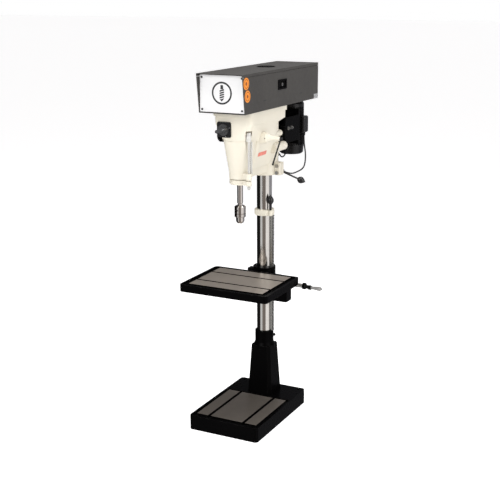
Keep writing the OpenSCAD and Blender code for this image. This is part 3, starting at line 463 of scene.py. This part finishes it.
def disc_label(name, centres):
    """Orange label with a plain dark ring near its edge and a dot in its middle."""
    s = Shader(name)
    _, y, z = s.xyz()
    ring = None
    for cy, cz in centres:
        dy = s.math("SUBTRACT", y, cy)
        dz = s.math("SUBTRACT", z, cz)
        r = s.math("SQRT", s.math("ADD", s.math("MULTIPLY", dy, dy), s.math("MULTIPLY", dz, dz)))
        part = s.math("MAXIMUM", s.between(r, *RING), s.math("LESS_THAN", r, DOT_RADIUS))
        ring = part if ring is None else s.math("MAXIMUM", ring, part)
    orange = s.ramp(s.noise(30, 3), [(0.3, (0.86, 0.26, 0.02)), (0.7, (0.93, 0.32, 0.03))])
    s.set(color=s.mix(ring, orange, (0.25, 0.06, 0.01)),
          roughness=s.span(s.noise(90, 3), 0.2, 0.8, 0.3, 0.42))
    s.bump(s.noise(300, 2), 0.00003)
    return s


orange_disc = disc_label("orange_label", [(-0.256, 1.795), (-0.243, 1.735)])
red_label = moulded("red_label", (0.74, 0.22, 0.17), 0.4)
grey_plate = machined("grey_plate", (0.62, 0.62, 0.63), 0.4, (300, 5, 5), metallic=0.3)
aluminium = machined("aluminium", (0.62, 0.62, 0.62), 0.3, (40, 40, 900))
black_oxide = machined("black_oxide", (0.03, 0.03, 0.032), 0.3, (300, 300, 300), metallic=0.6)
stop_nut = moulded("stop_nut", (0.72, 0.71, 0.68), 0.35)
# Black print; also used as painted shade for the slots in the guard's wall.
print_and_shade_black = moulded("print_and_shade_black", (0.02, 0.02, 0.022), 0.5)
print_white = moulded("print_white", (0.30, 0.30, 0.30), 0.45)
bright_rod = machined("bright_rod", (0.72, 0.71, 0.68), 0.36, (30, 30, 700), metallic=0.35)
BARE = (0.55, 0.54, 0.52)
DARK_STEEL = (0.035, 0.034, 0.033)


def with_bare(shader, mask_of, metal=BARE):
    """The same finish with some of the node in bare steel, where mask_of(shader, x, y, z) is 1."""
    return shader.over(mask_of(shader, *shader.xyz()), metal, 0.9, 0.22)


feed_finish = with_bare(cream_casting("feed_handle_finish"),
                        lambda s, x, y, z: s.math("GREATER_THAN", x, 0.19425), DARK_STEEL)
crank_finish = with_bare(black_casting("crank_finish"), lambda s, x, y, z: s.math(
    "MAXIMUM", s.math("LESS_THAN", x, 0.2579), s.math("GREATER_THAN", x, 0.3285)))
bracket_finish = with_bare(black_casting("bracket_finish"), lambda s, x, y, z: s.math(
    "MULTIPLY", s.math("LESS_THAN", x, -0.06),
    s.math("GREATER_THAN", s.math("ABSOLUTE", s.math("SUBTRACT", y, 0.187)), 0.0223)))
switch_finish = with_bare(
    moulded("switch_plate_finish", (0.012, 0.012, 0.013), 0.38, specular=0.15),
    lambda s, x, y, z: s.math("LESS_THAN", y, SWITCH_PLATE_Y - 0.00005), DARK_STEEL)


SCALE_BOTTOM_Z = 1.345
SHORT_LINES_FROM_X = 0.079


def scale_plate():
    """Depth scale: white plate with a line every 5 mm, longer every 10 mm."""
    s = Shader("scale_plate")
    x, _, z = s.xyz()
    up = s.math("SUBTRACT", z, SCALE_BOTTOM_Z)
    fine = s.math("LESS_THAN", s.math("FRACT", s.math("DIVIDE", up, 0.005)), 0.16)
    long = s.math("LESS_THAN", s.math("FRACT", s.math("DIVIDE", up, 0.010)), 0.08)
    short = s.math("MULTIPLY", fine, s.math("GREATER_THAN", x, SHORT_LINES_FROM_X))
    line = s.math("MAXIMUM", short, long)
    plate = s.ramp(s.noise(40, 3), [(0.3, (0.76, 0.75, 0.71)), (0.7, (0.84, 0.83, 0.80))])
    s.set(color=s.mix(line, plate, grey(0.05)),
          roughness=s.span(s.noise(80, 3), 0.2, 0.8, 0.3, 0.45))
    s.bump(line, 0.00002)
    return s


scale_finish = scale_plate()

FINISH = {
    black_paint: "pedestal return_spring_cap motor_bracket lid_cap latch_bezel latch_paddle",
    motor_paint: "motor_frame motor_fan_cowl motor_terminal_box",
    bracket_finish: "table_bracket",
    crank_finish: "crank",
    feed_finish: "feed_handle",
    switch_finish: "switch_plate",
    scale_finish: "depth_scale",
    stop_nut: "depth_nut",
    black_oxide: "guard_screws pedestal_bolts",
    base_iron: "base_plate",
    table_iron: "table",
    cream_paint: "column_collar head_casting quill_collar",
    charcoal: "belt_guard guard_lid lid_hinge hinge_pin",
    front_silver: "front_plate",
    chuck_chrome: "spindle chuck_body chuck_sleeve jaw_a jaw_b jaw_c",
    bright_rod: "depth_rod",
    turned: "quill feed_shaft idler_post bearing_housing motor_slide_rods tilt_bolt",
    ground: "head_clamp_bolts column_rack elevating_gear quill_bearings drive_bearings",
    column_chrome: "column",
    aluminium: "motor_pulley idler_pulley spindle_pulley",
    rubber: "drive_belts motor_leads",
    black_plastic: "cord_gland column_lock_bolt",
    switch_plastic: "switch_knob",
    knob_plastic: "collar_knob head_clamp_lever",
    grey_plastic: "crank_grip",
    orange_disc: "safety_discs",
    red_label: "side_label",
    grey_plate: "rear_plate",
}


def finish_cad():
    """Gives every carried-over CAD node its material."""
    left = set(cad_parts)
    for shader, names in FINISH.items():
        for name in names.split():
            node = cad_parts[name]
            if not node.data.materials:
                node.data.materials.append(None)
            for i in range(len(node.data.materials)):
                node.data.materials[i] = shader.material
            left.discard(name)
    assert not left, left


finish_cad()


# ---------------------------------------------------------------- fine detail

def on_front(u, v, d):
    """Across and up the front plate, standing d proud of it."""
    return (u, FRONT_Y - d, v)


def on_side(u, v, d):
    """Back and up the guard's right-hand wall, standing d proud of it."""
    return (SIDE_X + d, u, v)


def add_piece(name, body, slot, shader, verts, faces, bevel=0.0):
    """New piece that rides a body; bevel is the width of its rounded edges."""
    mesh = bpy.data.meshes.new(name)
    mesh.from_pydata(verts, [], faces)
    mesh.update()
    mesh.materials.append(shader.material)
    piece = bpy.data.objects.new(name, mesh)
    bpy.context.scene.collection.objects.link(piece)
    if bevel:
        rounding = piece.modifiers.new("edges", "BEVEL")
        rounding.width = bevel
        rounding.segments = 2
        rounding.limit_method = "ANGLE"
    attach(piece, body)


def prisms(parts, place, low, high):
    """Flat shapes raised from low to high; a part is (outer outline, inner outline or None)."""
    verts, faces = [], []
    for outer, inner in parts:
        n, at = len(outer), len(verts)
        loops = [outer] + ([inner] if inner else [])
        for loop in loops:
            verts += [place(u, v, low) for u, v in loop] + [place(u, v, high) for u, v in loop]
        for k in range(len(loops)):
            base = at + 2 * n * k
            faces += [(base + i, base + (i + 1) % n, base + n + (i + 1) % n, base + n + i)
                      for i in range(n)]
        if inner:
            for level in (0, n):
                faces += [(at + level + i, at + level + (i + 1) % n,
                           at + 2 * n + level + (i + 1) % n, at + 2 * n + level + i)
                          for i in range(n)]
        else:
            faces += [tuple(range(at, at + n)), tuple(range(at + n, at + 2 * n))]
    return verts, faces


def circle(cu, cv, r, n):
    """Outline of a circle in n points."""
    return [(cu + r * math.cos(2 * math.pi * i / n), cv + r * math.sin(2 * math.pi * i / n))
            for i in range(n)]


def box_outline(cu, cv, w, h, r=0.0, lean=0.0):
    """Rectangle with cut corners; lean raises its right-hand side."""
    w, h = w / 2, h / 2
    points = [(-w + r, -h), (w - r, -h), (w, -h + r), (w, h - r), (w - r, h), (-w + r, h),
              (-w, h - r), (-w, -h + r)] if r else [(-w, -h), (w, -h), (w, h), (-w, h)]
    return [(cu + u, cv + v + (lean if u > 0 else 0)) for u, v in points]


def emblem():
    """Plain mark on the front plate: a twist drill inside a ring."""
    cu, cv = EMBLEM_CENTRE
    parts = [(circle(cu, cv, 0.054, 64), circle(cu, cv, 0.0455, 64)),
             (box_outline(cu, cv + 0.028, 0.014, 0.020, 0.001), None)]
    parts += [(box_outline(cu, cv + 0.009 - 0.0105 * k, 0.024, 0.0072, lean=0.007), None)
              for k in range(4)]
    parts += [([(cu - 0.012, cv - 0.0305), (cu, cv - 0.039), (cu + 0.012, cv - 0.0235)], None)]
    add_piece("plate_emblem", "head", "black_plastic", print_and_shade_black,
              *prisms(parts, on_front, 0, 0.0004))


def guard_details():
    """On the guard's right-hand wall: painted shade for two slots, the rear plate's rivets and
    lines, the latch's lock.
    """
    # Painted shade: the two slots are flat dark marks standing on the wall, not openings.
    slot_shade_marks = [(box_outline(y, z, 0.030, 0.0045, 0.001), None)
             for y, z in ((-0.060, 1.699), (0.367, 1.696))]
    add_piece("guard_slot_shade", "head", "black_plastic", print_and_shade_black,
              *prisms(slot_shade_marks, on_side, 0, 0.0003))
    rivets = [(circle(REAR_PLATE_Y + side * 0.020, 1.663, 0.002, 16), None) for side in (-1, 1)]
    add_piece("rear_plate_rivets", "head", "steel", ground,
              *prisms(rivets, on_side, 0.001, 0.0018), 0.0004)
    lines = [(box_outline(REAR_PLATE_Y, 1.657 + 0.004 * k, 0.026, 0.0008), None)
             for k in range(4)]
    add_piece("rear_plate_lines", "head", "black_plastic", print_and_shade_black,
              *prisms(lines, on_side, 0.001, 0.0011))
    barrel = [(circle(*LATCH_CENTRE, 0.0085, 32), circle(*LATCH_CENTRE, 0.0035, 32))]
    add_piece("latch_lock", "latch", "chrome", ground,
              *prisms(barrel, on_side, -0.0008, 0.0016), 0.0004)


def switch_pointer():
    """White line along one end of the switch's bar, and the two marks that it points to."""
    turn = SWITCH_TURN
    cu, cv = SWITCH_CENTRE

    def on_knob(u, v, d):
        return (cu + u * math.cos(turn) - v * math.sin(turn), SWITCH_KNOB_Y - d,
                cv + u * math.sin(turn) + v * math.cos(turn))

    def on_plate(u, v, d):
        return (u, SWITCH_PLATE_Y - d, v)

    line = [(box_outline(0.018, 0, 0.014, 0.0026, 0.0006), None)]
    add_piece("switch_pointer", "switch", "silver_paint", print_white,
              *prisms(line, on_knob, 0, 0.0003))
    reach, mark = 0.033, 0.0036
    marks = [(box_outline(cu + reach * math.cos(a), cv + reach * math.sin(a), mark, mark, 0.001),
              None) for a in (turn, turn - math.pi / 2)]
    add_piece("switch_marks", "head", "silver_paint", print_white,
              *prisms(marks, on_plate, 0, 0.0003))


def terminal_lid():
    """Lid of the motor's terminal box with its four screws."""
    cu, cv = TERMINAL_CENTRE
    lid_t = 0.003

    def on_box(u, v, d):
        return (TERMINAL_BOX_X + d, u, v)

    lid = [(box_outline(cu, cv, 0.058, 0.084, 0.006), None)]
    add_piece("terminal_lid", "head", "black_paint", motor_paint,
              *prisms(lid, on_box, 0, lid_t), 0.0008)
    screws = [tuple(circle(cu + sy * 0.023, cv + sz * 0.036, r, 20) for r in (0.003, 0.0012))
              for sy in (-1, 1) for sz in (-1, 1)]
    add_piece("terminal_screws", "head", "steel", ground,
              *prisms(screws, on_box, lid_t, 0.0045), 0.0003)


def feed_set_screw():
    """Set screw in the hub of the feed handle."""
    def on_hub(u, v, d):
        return (u, FEED_AXIS_Y - FEED_HUB_RADIUS - d, v)

    screw = [tuple(circle(FEED_HUB_MIDDLE_X, FEED_AXIS_Z, r, 24) for r in (0.0028, 0.0013))]
    add_piece("feed_set_screw", "feed", "steel", black_oxide,
              *prisms(screw, on_hub, -0.002, 0.0012), 0.0003)


emblem()
guard_details()
switch_pointer()
terminal_lid()
feed_set_screw()
